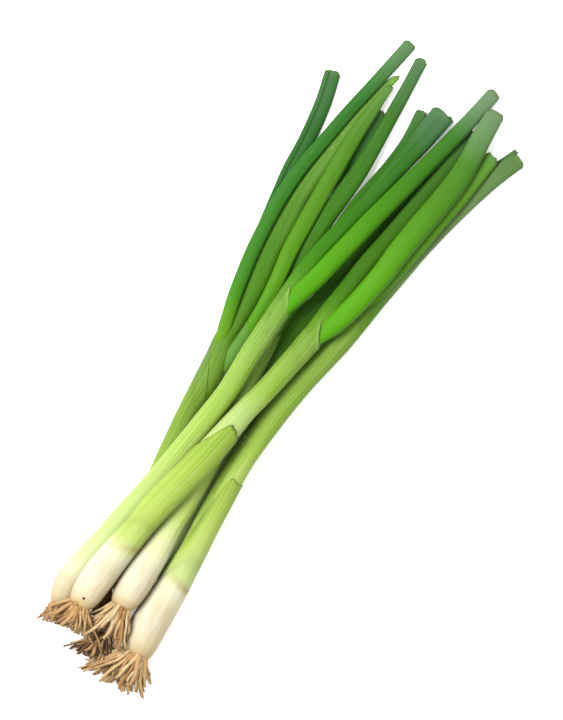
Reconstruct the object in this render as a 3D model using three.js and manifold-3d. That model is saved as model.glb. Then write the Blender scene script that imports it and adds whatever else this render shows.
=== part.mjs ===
// A bunch of six spring onions lying on a surface. Roots point towards -Y, leaf tips towards +Y.
// Each onion has a tuft of roots, a stalk (bulb, sheath and the outermost leaf, grown in one)
// and the younger leaves, whose feet stand in sockets in the sheath.
import * as THREE from 'three';
import { mergeVertices } from 'three/addons/utils/BufferGeometryUtils.js';
import Module from 'manifold-3d';

const wasm = await Module();
wasm.setup();

// Routes are laid out on a plan of the bunch. These turn plan units into millimetres,
// with the length of the bunch along +Y.
const mmPerUnit = 0.5;
const planCentre = { x: 275, y: 370 };
const bunchAxis = { x: 0.534, y: -0.845 };

// Spacing of the rings and of the height samples along a strand, in mm.
const bulbRingStep = 4.5;
const bulbLength = 42;
const ringStep = 10;
const heightStep = 4;
const stalkSides = 10;
const leafSides = 8;

// Clearances and walls, in mm.
const gap = 0.3;
const layingGap = 0.55;
const flatDepth = 0.5;
const leafWall = 0.9;
const tipHollow = 9;

// A leaf's foot sits inside its sheath and is clear of it this far on.
const footInside = 9;
const footClear = 42;
const footRise = 0.18;

// Roots, in mm and shares. Each root leaves the plate a golden turn round from the last.
const plateThickness = 2.4;
const plateShare = 0.92;
const rootSpan = 0.85;
const rootRadius = 1.05;
const rootTaper = 0.5;
const rootFloor = 1;
const rootSides = 4;
const rootSteps = 3;
const goldenTurn = 2.399963;

// How the heights settle: passes that pull a strand taut, then rounds of easing.
const tautPasses = 1500;
const easingRounds = 8;
const easingPasses = 6;

// A tip counts as held up where it is this far off the surface, in mm, and droops at this slope.
const heldLift = 1.5;
const tipDroop = 0.12;

// The smallest hollow worth cutting, as a share of the radius, and the welding distance in mm.
const smallestHollow = 0.3;
const weldDistance = 1e-5;
const finestDetail = 0.02;
const rootColour = 0xcba468;

// The surface below the bunch, in mm.
const groundSize = 400;
const groundDepth = 40;

// A plan route is a list of [x, y, width, flatness]: flatness is height over width.
const strands = [
  {
    name: 'onion_6_leaf_2', kind: 'leaf', of: 'onion_6_stalk', colour: 0x3f7d44,
    route: [
      [211, 362, 11, 0.6], [220, 340, 14, 0.55], [232, 306, 15, 0.5], [247, 268, 15, 0.5],
      [262, 233, 15, 0.5], [276, 199, 15, 0.5], [289, 168, 15, 0.5], [300, 146, 15.5, 0.5],
      [312, 120, 16, 0.5], [321, 98, 16, 0.5], [332.5, 69, 15, 0.5],
    ],
  },
  {
    name: 'onion_6_stalk', kind: 'stalk', colour: 0x9cc84e,
    roots: { seed: 61, count: 8, length: 13, spread: 0.5, lean: 0.1 },
    route: [
      [103, 591, 11, 0.95], [105, 587, 17, 0.95], [109, 580, 20.5, 0.95], [116, 568, 22, 0.95],
      [127, 548, 21.5, 0.95], [141, 517, 21, 0.95], [153, 488, 21, 0.95], [165, 460, 21, 0.95],
      [177, 434, 21, 0.95], [190, 408, 21.5, 0.95], [203, 382, 22, 0.93], [214, 360, 21.5, 0.9],
      [225, 338, 21, 0.8], [238, 318, 19, 0.65], [248, 300, 18, 0.55], [258, 278, 18, 0.5],
      [270.5, 250, 18.5, 0.45], [287, 220, 18.5, 0.42], [296, 203, 18, 0.42], [305, 188, 16.5, 0.45],
      [322, 161, 12.5, 0.5], [340, 134.5, 9.5, 0.6], [358, 114, 8.5, 0.65], [377, 94, 8.5, 0.65],
      [389, 83, 9, 0.6], [399, 75, 5, 0.6],
    ],
  },
  {
    name: 'onion_6_leaf_1', kind: 'leaf', of: 'onion_6_stalk', colour: 0x4f8f45,
    route: [
      [209, 368, 9, 0.8], [213.5, 350, 13, 0.78], [220, 332, 15, 0.72], [231.5, 302, 14.5, 0.68],
      [241, 279, 14.5, 0.65], [253, 250, 14.5, 0.62], [268, 220, 14.5, 0.6], [284, 192, 14.5, 0.6],
      [303, 165, 14, 0.6], [325, 139, 13.5, 0.6], [348, 112, 13, 0.6], [370, 88, 13, 0.58],
      [390, 66, 13.5, 0.55], [412, 41.5, 13.5, 0.52],
    ],
  },
  {
    name: 'onion_5_stalk', kind: 'stalk', colour: 0x6fa03a,
    roots: { seed: 53, count: 12, length: 13, spread: 0.6, lean: 0.1 },
    route: [
      [103, 638, 10, 0.95], [105, 634, 15, 0.95], [109, 627, 18, 0.95], [116, 614, 19.5, 0.95],
      [129, 593, 20, 0.95], [152, 563, 19.5, 0.95], [179, 532, 19.5, 0.95], [202, 500, 19.5, 0.95],
      [217, 471, 19.5, 0.95], [229, 447, 19, 0.95], [242, 419, 19, 0.92], [257, 388, 18.5, 0.85],
      [275, 355, 17.5, 0.7], [297, 323, 16, 0.55], [317, 301, 15.5, 0.5], [340, 276, 15, 0.5],
      [362, 251, 15, 0.5], [385, 228, 15, 0.5], [425, 187, 15, 0.5], [445, 165, 14.5, 0.5],
      [463, 142, 13, 0.5],
    ],
  },
  {
    name: 'onion_5_leaf_1', kind: 'leaf', of: 'onion_5_stalk', colour: 0x2f6a2c,
    route: [
      [247, 399, 9, 0.8], [262, 371, 10, 0.7], [277, 338, 11, 0.6], [292, 300, 11.5, 0.55],
      [309, 257, 11.5, 0.5], [329, 211, 11.5, 0.5], [345, 180, 11.5, 0.5], [357, 158, 11.5, 0.5],
      [369, 135, 11, 0.5], [382, 110, 9.5, 0.5],
    ],
  },
  {
    name: 'onion_4_leaf_2', kind: 'leaf', of: 'onion_4_stalk', colour: 0x3c6f45,
    route: [
      [356, 322, 12, 0.5], [373, 301, 12, 0.42], [398, 271, 12, 0.4], [430, 234, 12, 0.4],
      [469, 194, 12, 0.4], [496, 169, 11, 0.4], [518, 150, 6, 0.45],
    ],
  },
  {
    name: 'onion_4_stalk', kind: 'stalk', colour: 0xa9d05c,
    roots: { seed: 47, count: 20, length: 23, spread: 0.55, lean: 0.5 },
    route: [
      [134, 656.5, 26, 0.95], [136.5, 651, 33.5, 0.95], [141, 640, 37, 0.95], [147, 628, 38, 0.95],
      [154, 616, 38, 0.95], [162, 603, 36.5, 0.95], [172, 588, 33.5, 0.95], [182, 571, 30, 0.95],
      [192, 553, 28, 0.95], [204, 529, 26.5, 0.95], [217, 505, 26, 0.95], [240, 463, 25.5, 0.95],
      [266, 427, 25, 0.95], [285, 403, 24.5, 0.95], [304, 380, 24.5, 0.95], [322, 361, 24.5, 0.95],
      [340, 342, 24, 0.92], [358, 321, 23, 0.85], [376, 300, 21, 0.7], [400, 273, 19.5, 0.55],
      [418, 252, 19, 0.5], [434, 235, 18.5, 0.48], [455, 214, 18, 0.47], [476, 194, 18, 0.46],
      [502, 172, 18, 0.45], [521, 158.5, 17, 0.45],
    ],
  },
  {
    name: 'onion_4_leaf_1', kind: 'leaf', of: 'onion_4_stalk', colour: 0x6a9a3c,
    route: [
      [350, 324, 15, 0.8], [369, 302, 16, 0.72], [389, 280, 16, 0.65], [410, 256, 16, 0.6],
      [425, 239, 16, 0.58], [440, 221, 16, 0.56], [456, 203, 16, 0.55], [470, 186, 16, 0.55],
      [493.5, 156, 16, 0.5],
    ],
  },
  {
    name: 'onion_3_stalk', kind: 'stalk', colour: 0xb4d66c,
    roots: { seed: 37, count: 14, length: 21, spread: 0.42, lean: 0 },
    route: [
      [120.5, 607.5, 20, 0.95], [123.5, 602, 28, 0.95], [129, 593, 32, 0.95], [136, 582, 33, 0.95],
      [144, 569, 32.5, 0.95], [153, 555, 30.5, 0.95], [163, 539, 27.5, 0.95], [173, 523, 25, 0.95],
      [184, 506, 23.5, 0.95], [197, 484, 22.5, 0.95], [210, 460, 22, 0.95], [225, 430, 21.5, 0.95],
      [238, 400, 21.5, 0.95], [248, 380, 21, 0.92], [258, 361, 20.5, 0.88], [268, 342, 19, 0.8],
      [276, 321, 17, 0.68], [283, 298, 16, 0.6], [291, 276, 15.5, 0.57], [301, 257, 15.5, 0.55],
      [314, 237, 15.5, 0.55], [330, 213, 15.5, 0.55], [345, 190, 15.5, 0.55], [360, 168, 15.5, 0.55],
      [374, 145, 15, 0.55], [391, 117, 14, 0.55], [406, 90, 13, 0.55], [423, 58, 13, 0.55],
    ],
  },
  {
    name: 'onion_3_leaf_1', kind: 'leaf', of: 'onion_3_stalk', colour: 0x4a8c33,
    route: [
      [259, 359, 10, 0.75], [268, 343, 12, 0.7], [281, 322, 13.5, 0.62], [296, 300, 14, 0.57],
      [316, 270, 13.5, 0.53], [337, 236, 13, 0.5], [356, 207, 13, 0.5], [370, 188, 13, 0.5],
      [387, 166, 13, 0.5], [405, 140, 13, 0.5], [423, 110, 12, 0.5],
    ],
  },
  {
    name: 'onion_6_leaf_3', kind: 'leaf', of: 'onion_6_stalk', colour: 0x5f9f34,
    route: [
      [209, 380, 12, 0.8], [221, 367, 13, 0.78], [235, 350, 14, 0.72], [249, 331, 14.5, 0.66],
      [262, 310, 14.5, 0.62], [277, 281, 15.5, 0.6], [290, 251, 16.5, 0.56], [304, 225, 17, 0.55],
      [319, 198, 17, 0.54], [335, 170, 17, 0.53], [347, 149, 16.5, 0.52], [358, 131, 15.5, 0.5],
      [369, 115, 13.5, 0.5], [381, 98, 10.5, 0.5], [391.5, 85, 7, 0.55],
    ],
  },
  {
    name: 'onion_1_stalk', kind: 'stalk', colour: 0xb9da74,
    roots: { seed: 17, count: 14, length: 13, spread: 0.55, lean: -0.2 },
    route: [
      [59, 606, 18, 0.95], [60.5, 601, 25, 0.95], [64, 594, 28.5, 0.95], [69, 584, 31, 0.95],
      [77, 572, 31, 0.95], [89, 558, 29, 0.95], [104, 541, 26, 0.95], [118, 524, 24.5, 0.95],
      [133, 507, 24, 0.95], [149, 489, 23.5, 0.95], [177, 455, 23, 0.95], [204, 420, 23, 0.95],
      [228, 388, 22.5, 0.95], [250, 354, 22.5, 0.95], [267, 330, 22.5, 0.92], [281, 308, 21, 0.85],
      [297, 282, 18.5, 0.68], [318, 254, 17, 0.58], [343, 226, 16.5, 0.55], [368, 198, 17.5, 0.52],
      [395, 170, 19.5, 0.5], [420, 142, 23, 0.45], [445, 112, 25, 0.4],
    ],
  },
  {
    name: 'onion_2_stalk', kind: 'stalk', colour: 0xa6cf4f,
    roots: { seed: 29, count: 16, length: 14, spread: 0.55, lean: -0.45 },
    route: [
      [79, 606, 20, 0.95], [82.5, 600.5, 28, 0.95], [88, 592, 32, 0.95], [94, 583, 33, 0.95],
      [102, 572, 33.5, 0.95], [112, 559, 32, 0.95], [128, 540, 29.5, 0.95], [150, 514, 28, 0.95],
      [170, 492, 27.5, 0.95], [190, 472, 27, 0.95], [208, 453, 26.5, 0.95], [229, 429, 24.5, 0.95],
      [245, 411, 22.5, 0.95], [263, 393, 22, 0.95], [284, 370, 22.5, 0.95], [304, 347, 23.5, 0.93],
      [317, 331, 23, 0.85], [330, 311, 19, 0.68], [346, 290, 17, 0.57], [368, 262, 17, 0.54],
      [390, 237, 17, 0.52], [415, 207, 16, 0.5], [442, 174, 15.5, 0.5], [474, 131, 14, 0.45],
    ],
  },
  {
    name: 'onion_1_leaf_1', kind: 'leaf', of: 'onion_1_stalk', colour: 0x5aa616,
    route: [
      [271, 327, 17, 0.85], [288, 306, 19, 0.8], [302, 292, 19.5, 0.74], [318, 277, 19.5, 0.68],
      [336, 258, 19.5, 0.64], [354, 239, 19.5, 0.6], [371, 221, 19.5, 0.58], [389, 203, 19, 0.56],
      [411, 181, 18.5, 0.55], [440, 152, 17, 0.55], [465, 126, 16.5, 0.55], [496, 91.5, 14.5, 0.5],
    ],
  },
  {
    name: 'onion_2_leaf_1', kind: 'leaf', of: 'onion_2_stalk', colour: 0x62ac1c,
    route: [
      [303, 352, 17, 0.85], [320, 336, 19.5, 0.8], [335, 324, 20.5, 0.74], [350, 310, 21, 0.68],
      [367, 292, 21.5, 0.62], [384, 272, 22.5, 0.58], [399, 252, 23.5, 0.56], [417, 230, 24, 0.54],
      [440, 203, 23.5, 0.53], [458, 180, 23, 0.52], [472, 159, 23.5, 0.5], [484, 137, 23, 0.5],
      [498.5, 111, 19.5, 0.48],
    ],
  },
];

// Turns a place on the plan into a point in mm.
function planPoint(x, y) {
  const across = x - planCentre.x;
  const down = y - planCentre.y;
  return new THREE.Vector3(
    mmPerUnit * (bunchAxis.x * down - bunchAxis.y * across),
    mmPerUnit * (bunchAxis.x * across + bunchAxis.y * down),
    0,
  );
}

// Width and flatness at a share of the way through the rows of a route.
function sizeAt(route, share) {
  const at = share * (route.length - 1);
  const row = Math.min(Math.floor(at), route.length - 2);
  const mix = at - row;
  const width = THREE.MathUtils.lerp(route[row][2], route[row + 1][2], mix);
  const flatness = THREE.MathUtils.lerp(route[row][3], route[row + 1][3], mix);
  const half = 0.5 * width * mmPerUnit;
  return { half, rise: half * flatness };
}

// Points every few millimetres along a strand, each with its half width and half height.
function sampleStrand(strand) {
  const points = strand.route.map(([x, y]) => planPoint(x, y));
  strand.plan = new THREE.CatmullRomCurve3(points, false, 'centripetal');
  strand.length = strand.plan.getLength();
  const steps = Math.ceil(strand.length / heightStep);
  strand.samples = [];
  for (let i = 0; i <= steps; i += 1) {
    const share = strand.plan.getUtoTmapping(i / steps);
    strand.samples.push({
      place: strand.plan.getPoint(share),
      along: (i / steps) * strand.length,
      ...sizeAt(strand.route, share),
      height: 0,
    });
  }
}

// The nearest place on a laid strand's centre line, with its size and height there.
function nearestOn(laid, place) {
  let best = null;
  for (let i = 1; i < laid.samples.length; i += 1) {
    const from = laid.samples[i - 1];
    const to = laid.samples[i];
    const span = to.place.clone().sub(from.place);
    const reach = place.clone().sub(from.place).dot(span) / span.lengthSq();
    const mix = THREE.MathUtils.clamp(reach, 0, 1);
    const away = from.place.clone().addScaledVector(span, mix).distanceTo(place);
    if (best === null || away < best.away) {
      best = {
        away,
        along: THREE.MathUtils.lerp(from.along, to.along, mix),
        half: THREE.MathUtils.lerp(from.half, to.half, mix),
        rise: THREE.MathUtils.lerp(from.rise, to.rise, mix),
        height: THREE.MathUtils.lerp(from.height, to.height, mix),
      };
    }
  }
  return best;
}

// A leaf and its own stalk share the sheath, so they part over the first stretch of the leaf.
function partingShare(strand, sample, laid, near) {
  if (strand.of === laid.name) {
    return THREE.MathUtils.smoothstep(sample.along, footInside, footClear);
  }
  if (laid.of === strand.name) {
    return THREE.MathUtils.smoothstep(near.along, footInside, footClear);
  }
  return 1;
}

// The least height at which a sample lies on the surface and on every strand laid before.
function leastHeight(strand, sample, laidStrands) {
  let least = sample.rise - flatDepth;
  for (const laid of laidStrands) {
    const near = nearestOn(laid, sample.place);
    const reach = near.half + sample.half + layingGap;
    if (near.away < reach) {
      const lift = (near.rise + sample.rise + layingGap) * Math.sqrt(1 - (near.away / reach) ** 2);
      const share = partingShare(strand, sample, laid, near);
      least = Math.max(least, THREE.MathUtils.lerp(least, near.height + lift, share));
    }
  }
  return least;
}

// The highest value within a few samples on either side.
function widenPeaks(values, reach) {
  return values.map((value, i) => Math.max(...values.slice(Math.max(0, i - reach), i + reach + 1)));
}

// One pass of smoothing that keeps the first values where they are.
function smoothOnce(values, kept) {
  return values.map((value, i) => {
    if (i < kept || i === values.length - 1) {
      return value;
    }
    const before = values[Math.max(0, i - 1)];
    return 0.25 * before + 0.5 * value + 0.25 * values[i + 1];
  });
}

// Spans between supports are straight, because the strands are stiff.
function pullTaut(least, kept) {
  const heights = [...least];
  for (let pass = 0; pass < tautPasses; pass += 1) {
    for (let i = Math.max(1, kept); i < heights.length - 1; i += 1) {
      heights[i] = Math.max(least[i], 0.5 * (heights[i - 1] + heights[i + 1]));
    }
  }
  return heights;
}

// Past its last support a tip stands out and droops a little, instead of falling to the surface.
function holdTip(strand, least) {
  const { samples } = strand;
  const last = least.length - 1;
  const held = samples.map((sample, i) => least[i] - sample.rise > heldLift).lastIndexOf(true);
  if (held > 0) {
    const overhang = strand.length - samples[held].along;
    least[last] = Math.max(least[last], least[held] - tipDroop * overhang);
  }
}

// Lays a strand on the surface and on the strands already there.
function layStrand(strand, laidStrands) {
  sampleStrand(strand);
  const least = strand.samples.map((sample) => leastHeight(strand, sample, laidStrands));
  const sheath = laidStrands.find((laid) => laid.name === strand.of);
  let kept = 0;
  if (sheath) {
    for (const sample of strand.samples) {
      if (sample.along <= footInside) {
        const near = nearestOn(sheath, sample.place);
        least[kept] = near.height + footRise * near.rise;
        kept += 1;
      }
    }
  }
  holdTip(strand, least);
  let heights = pullTaut(least, kept);
  for (let round = 0; round < easingRounds; round += 1) {
    for (let pass = 0; pass < easingPasses; pass += 1) {
      heights = smoothOnce(heights, kept);
    }
    const missing = widenPeaks(least.map((value, i) => Math.max(0, value - heights[i])), 3);
    heights = heights.map((value, i) => (i < kept ? value : value + missing[i]));
  }
  strand.samples.forEach((sample, i) => {
    sample.height = heights[i];
  });
}

// Height of a strand's centre line at a length along it.
function heightAt(strand, along) {
  const at = THREE.MathUtils.clamp(along / strand.length, 0, 1) * (strand.samples.length - 1);
  const low = Math.min(Math.floor(at), strand.samples.length - 2);
  return THREE.MathUtils.lerp(strand.samples[low].height, strand.samples[low + 1].height, at - low);
}

// Centre, side and up directions of a strand at a length along it.
function frameAt(strand, along) {
  const share = THREE.MathUtils.clamp(along / strand.length, 0, 1);
  const t = strand.plan.getUtoTmapping(share);
  const centre = strand.plan.getPoint(t);
  centre.z = heightAt(strand, along);
  const tangent = strand.plan.getTangent(t);
  const ahead = heightAt(strand, along + heightStep);
  const behind = heightAt(strand, along - heightStep);
  tangent.z = (ahead - behind) / (2 * heightStep);
  tangent.normalize();
  const side = new THREE.Vector3(tangent.y, -tangent.x, 0).normalize();
  const up = side.clone().cross(tangent);
  return { centre, side, up, tangent, ...sizeAt(strand.route, t) };
}

// Lengths at which a strand has rings: close together on the bulb, wider on the rest.
function ringLengths(strand) {
  const lengths = [0];
  const end = strand.length;
  while (lengths.at(-1) < end) {
    const last = lengths.at(-1);
    const step = strand.kind === 'stalk' && last < bulbLength ? bulbRingStep : ringStep;
    lengths.push(end - last < 1.5 * step ? end : last + step);
  }
  return lengths;
}

// The profile of a strand: its share of the full radius against its length. The cut tip is hollow.
function strandProfile(strand) {
  const profile = [new THREE.Vector2(0, 0)];
  for (const along of ringLengths(strand)) {
    profile.push(new THREE.Vector2(1, along));
  }
  const tip = frameAt(strand, strand.length);
  const inner = 1 - leafWall / tip.rise;
  if (inner > smallestHollow) {
    profile.push(new THREE.Vector2(inner, strand.length));
    profile.push(new THREE.Vector2(inner, strand.length - tipHollow));
    profile.push(new THREE.Vector2(0, strand.length - tipHollow));
  } else {
    profile.push(new THREE.Vector2(0, strand.length));
  }
  return profile;
}

// A turned shape becomes a closed solid: shared corners merged, faces outward.
function solidFrom(geometry) {
  geometry.deleteAttribute('normal');
  geometry.deleteAttribute('uv');
  const merged = mergeVertices(geometry, weldDistance);
  const corners = [];
  const index = merged.index.array;
  for (let i = 0; i < index.length; i += 3) {
    const [a, b, c] = index.slice(i, i + 3);
    if (a !== b && b !== c && c !== a) {
      corners.push(a, b, c);
    }
  }
  const mesh = new wasm.Mesh({
    numProp: 3,
    vertProperties: new Float32Array(merged.attributes.position.array),
    triVerts: new Uint32Array(corners),
  });
  return new wasm.Manifold(mesh);
}

// Bends a turned shape along a strand, grown outward by a clearance.
function strandSolid(strand, growth) {
  const sides = strand.kind === 'stalk' ? stalkSides : leafSides;
  const geometry = new THREE.LatheGeometry(strandProfile(strand), sides);
  const position = geometry.attributes.position;
  for (let i = 0; i < position.count; i += 1) {
    const along = position.getY(i);
    const place = frameAt(strand, along);
    const end = along === 0 ? -growth : along === strand.length ? growth : 0;
    const point = place.centre.clone();
    point.addScaledVector(place.side, position.getX(i) * (place.half + growth));
    point.addScaledVector(place.up, position.getZ(i) * (place.rise + growth));
    point.addScaledVector(place.tangent, end);
    position.setXYZ(i, point.x, point.y, point.z);
  }
  return solidFrom(geometry);
}

// A repeatable stream of numbers between 0 and 1.
function seededStream(seed) {
  let state = seed;
  return () => {
    state = (state * 1664525 + 1013904223) % 4294967296;
    return state / 4294967296;
  };
}

// A tapered root: a turned shape bent along a curve.
function rootSolid(points, radius, growth) {
  const curve = new THREE.CatmullRomCurve3(points);
  const profile = [new THREE.Vector2(0, 0)];
  for (let i = 0; i <= rootSteps; i += 1) {
    profile.push(new THREE.Vector2(THREE.MathUtils.lerp(1, rootTaper, i / rootSteps), i / rootSteps));
  }
  profile.push(new THREE.Vector2(0, 1));
  const geometry = new THREE.LatheGeometry(profile, rootSides);
  const position = geometry.attributes.position;
  for (let i = 0; i < position.count; i += 1) {
    const share = position.getY(i);
    const tangent = curve.getTangent(share);
    const side = new THREE.Vector3(tangent.y, -tangent.x, 0).normalize();
    const up = side.clone().cross(tangent);
    const point = curve.getPoint(share);
    point.addScaledVector(side, position.getX(i) * (radius + growth));
    point.addScaledVector(up, position.getZ(i) * (radius + growth));
    position.setXYZ(i, point.x, point.y, point.z);
  }
  return solidFrom(geometry);
}

// The base plate under a bulb with its tuft of roots, fused.
function rootTuft(strand, growth) {
  const { seed, count, length, spread, lean } = strand.roots;
  const random = seededStream(seed);
  const base = frameAt(strand, 0);
  const outward = base.tangent.clone().negate();
  const plateTop = base.centre.clone().addScaledVector(outward, gap - growth);
  const plateEnd = base.centre.clone().addScaledVector(outward, gap + plateThickness + growth);
  const plateRadius = base.half * plateShare;
  let tuft = rootSolid([plateTop, plateTop.clone().lerp(plateEnd, 0.5), plateEnd], plateRadius, growth);
  for (let i = 0; i < count; i += 1) {
    const turn = i * goldenTurn;
    const out = Math.sqrt((i + 0.5) / count);
    const across = Math.cos(turn) * out;
    const above = Math.sin(turn) * out;
    const reach = length * (0.6 + 0.4 * random());
    const drop = Math.max(0, base.centre.z - rootFloor) * (0.35 + 0.6 * random());
    const curl = (random() - 0.5) * reach * 0.35;
    const start = base.centre.clone().addScaledVector(outward, gap + 0.5 * plateThickness);
    start.addScaledVector(base.side, across * plateRadius * rootSpan);
    start.addScaledVector(base.up, above * plateRadius * rootSpan);
    const points = [0, 0.35, 0.7, 1].map((share) => {
      const point = start.clone().addScaledVector(outward, reach * share);
      point.addScaledVector(base.side, reach * share * (across * spread - lean) + curl * share * share);
      point.z += reach * share * above * spread * 0.6 - drop * share * share;
      point.z = Math.max(point.z, rootFloor);
      return point;
    });
    tuft = tuft.add(rootSolid(points, rootRadius * (0.75 + 0.5 * random()), growth));
  }
  return tuft;
}

// The largest body of a solid, without the scraps that a cut can leave.
function largestBody(solid) {
  const bodies = solid.decompose();
  bodies.sort((a, b) => b.volume() - a.volume());
  return bodies[0];
}

// Cuts a solid clear of another wherever they meet.
function clearedOf(solid, grown) {
  if (solid.intersect(grown).isEmpty()) {
    return solid;
  }
  return largestBody(solid.subtract(grown));
}

// A slab below the resting surface, which trims the lowest strands flat.
function groundSlab() {
  const slab = new THREE.BoxGeometry(groundSize, groundSize * 2, groundDepth);
  slab.translate(0, 0, -0.5 * groundDepth);
  slab.deleteAttribute('normal');
  slab.deleteAttribute('uv');
  const merged = mergeVertices(slab, weldDistance);
  return new wasm.Manifold(new wasm.Mesh({
    numProp: 3,
    vertProperties: new Float32Array(merged.attributes.position.array),
    triVerts: new Uint32Array(merged.index.array),
  }));
}

// A solid becomes a named mesh with its own material.
function meshFrom(solid, name, colour, roughness) {
  const { vertProperties, triVerts, numProp } = solid.getMesh();
  const corners = new Float32Array((vertProperties.length / numProp) * 3);
  for (let i = 0; i < corners.length / 3; i += 1) {
    corners.set(vertProperties.slice(i * numProp, i * numProp + 3), i * 3);
  }
  const geometry = new THREE.BufferGeometry();
  geometry.setAttribute('position', new THREE.BufferAttribute(corners, 3));
  geometry.setIndex(new THREE.BufferAttribute(new Uint32Array(triVerts), 1));
  geometry.computeVertexNormals();
  const material = new THREE.MeshStandardMaterial({ color: colour, roughness, metalness: 0 });
  const mesh = new THREE.Mesh(geometry, material);
  mesh.name = name;
  return mesh;
}

// Settles the strands in order, from the surface up.
function layBunch() {
  const laidStrands = [];
  for (const strand of strands) {
    layStrand(strand, laidStrands);
    laidStrands.push(strand);
  }
}

// Every strand as a solid, cut clear of the leaves that stand in it and of what presses on it.
function strandPieces() {
  const ground = groundSlab();
  const pieces = strands.map((strand) => ({
    strand,
    solid: strandSolid(strand, 0),
    grown: strandSolid(strand, gap),
  }));
  pieces.forEach((piece, i) => {
    pieces.forEach((other, j) => {
      const isFoot = other.strand.of === piece.strand.name;
      const isSheath = piece.strand.of === other.strand.name;
      if (isFoot || (j > i && !isSheath)) {
        piece.solid = clearedOf(piece.solid, other.grown);
      }
    });
    piece.solid = largestBody(piece.solid.subtract(ground)).simplify(finestDetail);
  });
  return pieces;
}

// The tufts, each cut clear of the strands and of the tufts after it.
function tuftPieces(pieces) {
  const ground = groundSlab();
  const rooted = strands.filter((strand) => strand.roots);
  const grownTufts = rooted.map((strand) => rootTuft(strand, gap));
  return rooted.map((strand, i) => {
    let solid = rootTuft(strand, 0).subtract(ground);
    for (const piece of pieces) {
      solid = clearedOf(solid, piece.grown);
    }
    for (const grown of grownTufts.slice(i + 1)) {
      solid = clearedOf(solid, grown);
    }
    return { strand, solid: largestBody(solid).simplify(finestDetail) };
  });
}

// Slides the finished bunch so that its box is centred on the origin.
function centreOnOrigin(group) {
  const box = new THREE.Box3().setFromObject(group);
  const centre = box.getCenter(new THREE.Vector3());
  for (const mesh of group.children) {
    mesh.geometry.translate(-centre.x, -centre.y, -box.min.z);
  }
}

// The whole bunch.
function buildBunch() {
  const bunch = new THREE.Group();
  layBunch();
  const pieces = strandPieces();
  for (const { strand, solid } of pieces) {
    bunch.add(meshFrom(solid, strand.name, strand.colour, 0.45));
  }
  for (const { strand, solid } of tuftPieces(pieces)) {
    bunch.add(meshFrom(solid, strand.name.replace('stalk', 'roots'), rootColour, 0.85));
  }
  centreOnOrigin(bunch);
  return bunch;
}

export default buildBunch();
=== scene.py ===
import math
import random

import bpy
import numpy as np
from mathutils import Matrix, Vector
from mathutils.bvhtree import BVHTree


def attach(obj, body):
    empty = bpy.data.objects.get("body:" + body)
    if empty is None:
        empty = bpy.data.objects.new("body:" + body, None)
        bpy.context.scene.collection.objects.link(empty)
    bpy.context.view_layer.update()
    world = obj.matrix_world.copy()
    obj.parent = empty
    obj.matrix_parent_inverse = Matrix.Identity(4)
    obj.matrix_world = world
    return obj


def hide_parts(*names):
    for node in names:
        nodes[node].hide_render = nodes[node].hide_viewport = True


# Plan units to metres, the plan's centre, the direction of the bunch and the picture's centre.
plan = {"scale": 0.0005, "centre": (275, 370), "axis": (0.534, -0.845), "picture": (281.5, 360)}

# How finely the pieces are built, in metres, columns and rows.
detail = {
    "stalkStep": 0.0016, "leafStep": 0.0022, "stalkColumns": 44, "leafColumns": 32, "rootColumns": 6,
    "rootRows": 10, "collarRows": 40, "skinRows": 70, "plateColumns": 36, "curveSteps": 24, "weld": 1e-6,
}

# Centre lines, in metres: spacing along them, how far CAD bottoms are trimmed flat, the spacing
# of the height readings, where their rays start, and the passes that smooth sizes and heights.
lie = {
    "spacing": 0.0005, "flat": 0.0005, "reading": 0.004, "below": -0.01, "onFloor": 1e-5,
    "step": 0.001, "sizePasses": 60, "heightPasses": 200,
}

# Where the random draws of each kind of piece start, and how far apart they are.
seeds = {"stalk": (11, 13), "collar": (5, 1), "skin": (31, 1), "leaf": (200, 17)}

# What a stalk or leaf has where its own dictionary doesn't say. flatness is height over width.
usual = {
    "flatness": 0.95, "ragged": 0.7, "dull": 0.0, "leafDull": 0.0, "ring": 0.0, "ringTilt": 0.0,
    "bridge": (), "fresh": 0.0, "tipFade": 0.0, "line": 0.0, "foot": (0, 0), "filmEnd": None,
}

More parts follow.
